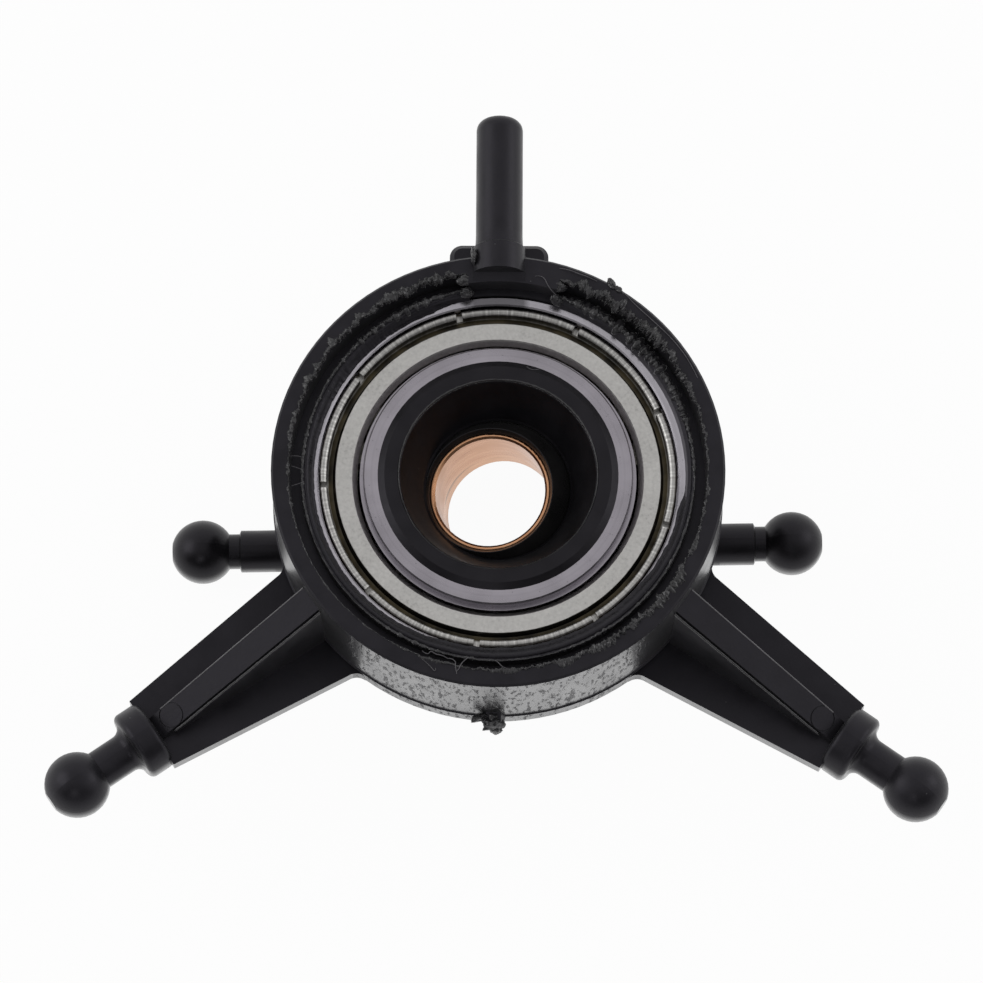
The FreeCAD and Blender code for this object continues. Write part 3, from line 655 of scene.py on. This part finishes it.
def shred(name, height, thickness, points, material, body="ring"):
    """Fine shred of plastic that arches along its points, thinner at its ends."""
    curve = bpy.data.curves.new(name, "CURVE")
    curve.dimensions = "3D"
    curve.bevel_depth = thickness * MM
    curve.bevel_resolution = 2
    curve.use_fill_caps = True
    spline = curve.splines.new("NURBS")
    spline.points.add(len(points) - 1)
    for i, (point, (x, y)) in enumerate(zip(spline.points, points)):
        share = i / (len(points) - 1)
        arch = SHRED_ARCH * math.sin(math.pi * share)
        point.co = (x * MM, y * MM, (height + arch) * MM, 1)
        point.radius = 1.0 - SHRED_THINNING * abs(2 * share - 1)
    spline.order_u = 3
    spline.use_endpoint_u = True
    plastic_piece(name, curve, material, body)


def lump(name, place, sizes, turn, seed, material):
    """Small torn lump on the ring, rough all over."""
    build = bmesh.new()
    bmesh.ops.create_icosphere(build, subdivisions=4, radius=1.0)
    spin = Matrix.Rotation(math.radians(turn), 3, "Z")
    for vert in build.verts:
        rough = 1.0 + 0.42 * ragged(vert.co, 1.1, seed) + 0.10 * ragged(vert.co, 0.3, seed + 5)
        vert.co = spin @ Vector([c * rough * size * MM for c, size in zip(vert.co, sizes)])
    plastic_piece(name, smooth_mesh(name, build), material, "ring", [c * MM for c in place])


def rib_edge(name, outline, heading, side, material):
    """Thin ragged strip along a rib's top edge, on the side that 1 or -1 gives."""
    spin = Matrix.Rotation(math.radians(heading), 3, "Z")
    loops = []
    for i in range(RIB_STEPS + 1):
        edge = RIB_EDGE_START.lerp(RIB_EDGE_END, i / RIB_STEPS)
        loop = []
        for out, up in outline:
            spot = Vector((edge.x, edge.y + out, edge.z + up))
            if out > 0.06:
                spot.y += 0.020 * ragged(spot, 0.8, 41.0) + 0.012 * ragged(spot, 0.2, 43.0)
                spot.z += 0.025 * ragged(spot, 0.6, 47.0)
            loop.append(spin @ Vector((spot.x, side * spot.y, spot.z)) * MM)
        loops.append(loop)
    lofted(name, loops, material, "ring")


def shade_ring(material):
    """Dark ring by the lower shield's inner edge, a sheet of painted shade which closes the view
    through it.
    """
    inner, outer, low, high = (v * MM for v in SHADE_RING_SIZES)
    loops = [[around(radius, height, heading) for radius, height in (
        (inner, low), (outer, low), (outer, high), (inner, high))] for heading in range(0, 360, 3)]
    lofted("shade_ring", loops, material, "ring", closed=True)


def tear_edges(torn, skin, pale):
    """Torn edges of the staked lip and of the hub's funnel, with the shreds and flash."""
    shade_ring(skin)
    torn_edge("lip_skirt", LIP_SKIRT, skirt_section, STAKE_START, STAKE_SWEEP, LIP_R, skin,
              "ring", tapered=False)
    for row in SHREDS:
        shred(*row, pale)
    shred(*FUNNEL_FIBRE, pale, "rotor")
    for row in LUMPS:
        lump(*row, torn)
    for side, (heading, front) in ARMS.items():
        rib_edge(f"rib_flash_{side}", RIB_FLASH, heading, front, torn)
        # Painted highlight: the burr along the back edge is pale plastic that draws a bright line.
        rib_edge(f"rib_highlight_burr_{side}", RIB_HIGHLIGHT_BURR, heading, -front, pale)
    torn_edge("outer_staking_tear", OUTER_TEAR, outer_tear_section, STAKE_START, STAKE_SWEEP,
              GROOVE_WALL_R, torn, "ring")
    torn_edge("inner_staking_tear", INNER_TEAR, inner_tear_section, STAKE_START, STAKE_SWEEP,
              LIP_R, torn, "ring")
    torn_edge("funnel_edge_burr", FUNNEL_TEAR, funnel_tear_section, FUNNEL_START, 360.0,
              FUNNEL_EDGE_R, torn, "rotor", closed=True)


# Stage ---------------------------------------------------------------------------------------

FLOOR_REACH = 1.5

CAMERA_ELEVATION = math.radians(71.8)
CAMERA_ROLL = math.radians(0.3)
CAMERA_DISTANCE = 300 * MM
CAMERA_TARGET = Vector((-0.357 * MM, -0.866 * MM, BEARING_TOP - 0.285 * MM))
CAMERA_LENS = 199.96
CAMERA_SENSOR = 36

# Square soft lamps aimed at the origin: name, place in metres, size in metres, power in watts
LAMPS = (
    ("left_box", (-0.34, 0.06, 0.24), 0.24, 0.30),
    ("right_box", (0.34, 0.10, 0.20), 0.20, 0.16),
    ("front_box", (-0.06, -0.30, 0.30), 0.16, 0.10),
)

# Brightness of the room for diffuse light, and of its front and overhead in reflections
ROOM_LEVEL = 0.5
FRONT_LEVEL = 0.12
OVERHEAD_LEVEL = 0.68


def make_floor():
    """Wide plain floor under the tower."""
    mesh = bpy.data.meshes.new("floor")
    corners = [(x * FLOOR_REACH, y * FLOOR_REACH, FLOOR_Z)
               for x, y in ((-1, -1), (1, -1), (1, 1), (-1, 1))]
    mesh.from_pydata(corners, [], [(0, 1, 2, 3)])
    floor = bpy.data.objects.new("floor", mesh)
    bpy.context.scene.collection.objects.link(floor)
    mesh.materials.append(floor_white("floor_white"))


def make_camera():
    """Camera above the front of the swashplate."""
    camera = bpy.data.objects.new("camera", bpy.data.cameras.new("camera"))
    bpy.context.scene.collection.objects.link(camera)
    back = Vector((0, -math.cos(CAMERA_ELEVATION), math.sin(CAMERA_ELEVATION)))
    turn = back.to_track_quat("Z", "Y").to_matrix()
    camera.matrix_world = Matrix.Translation(CAMERA_TARGET + back * CAMERA_DISTANCE) @ (
        turn @ Matrix.Rotation(CAMERA_ROLL, 3, "Z")).to_4x4()
    camera.data.lens = CAMERA_LENS
    camera.data.sensor_width = CAMERA_SENSOR
    camera.data.clip_start = 10 * MM
    bpy.context.scene.camera = camera


def make_lights():
    """Soft lamps at both sides and in front."""
    for name, place, size, power in LAMPS:
        lamp = bpy.data.objects.new(name, bpy.data.lights.new(name, "AREA"))
        bpy.context.scene.collection.objects.link(lamp)
        lamp.data.size = size
        lamp.data.energy = power
        lamp.location = place
        lamp.rotation_euler = Vector(place).to_track_quat("Z", "Y").to_euler()


def make_world():
    """Grey room for diffuse light. The eye and reflections see white, dimmed ahead and above."""
    world = bpy.data.worlds.new("room")
    bpy.context.scene.world = world
    world.use_nodes = True
    tree = world.node_tree

    def node(kind, *inputs, **settings):
        """New node's first output, with its settings, and inputs in the order of its sockets."""
        made = tree.nodes.new(kind)
        for name, value in settings.items():
            setattr(made, name, value)
        for socket, value in enumerate(inputs):
            if isinstance(value, bpy.types.NodeSocket):
                tree.links.new(value, made.inputs[socket])
            else:
                made.inputs[socket].default_value = value
        return made.outputs[0]

    path = tree.nodes.new("ShaderNodeLightPath").outputs
    ray = node("ShaderNodeSeparateXYZ", tree.nodes.new("ShaderNodeTexCoord").outputs["Generated"])
    ahead, height = (ray.node.outputs[axis] for axis in "YZ")
    front = node("ShaderNodeMapRange", ahead, -0.55, -0.15, 1.0, 0.0)
    above = node("ShaderNodeMapRange", height, 0.05, 0.3, 0.0, 1.0)
    shade = node("ShaderNodeMath", front, above, operation="MULTIPLY")
    front_level = node("ShaderNodeMapRange", shade, 0.0, 1.0, 1.0, FRONT_LEVEL)
    overhead_level = node("ShaderNodeMapRange", height, 0.80, 0.90, 1.0, OVERHEAD_LEVEL)
    seen_level = node("ShaderNodeMath", front_level, overhead_level, operation="MULTIPLY")
    reflected = node("ShaderNodeBackground", (1, 1, 1, 1), seen_level)
    white = node("ShaderNodeBackground", (1, 1, 1, 1), 1.0)
    room = node("ShaderNodeBackground", (1, 1, 1, 1), ROOM_LEVEL)
    clear = node("ShaderNodeMath", path["Is Glossy Ray"], path["Is Transmission Ray"],
                 operation="MAXIMUM")
    lit = node("ShaderNodeMixShader", clear, room, reflected)
    shown = node("ShaderNodeMixShader", path["Is Camera Ray"], lit, white)
    tree.links.new(shown, tree.nodes["World Output"].inputs["Surface"])


dress_nodes()
make_floor()
make_camera()
make_lights()
make_world()
bpy.context.scene.view_settings.view_transform = "Standard"
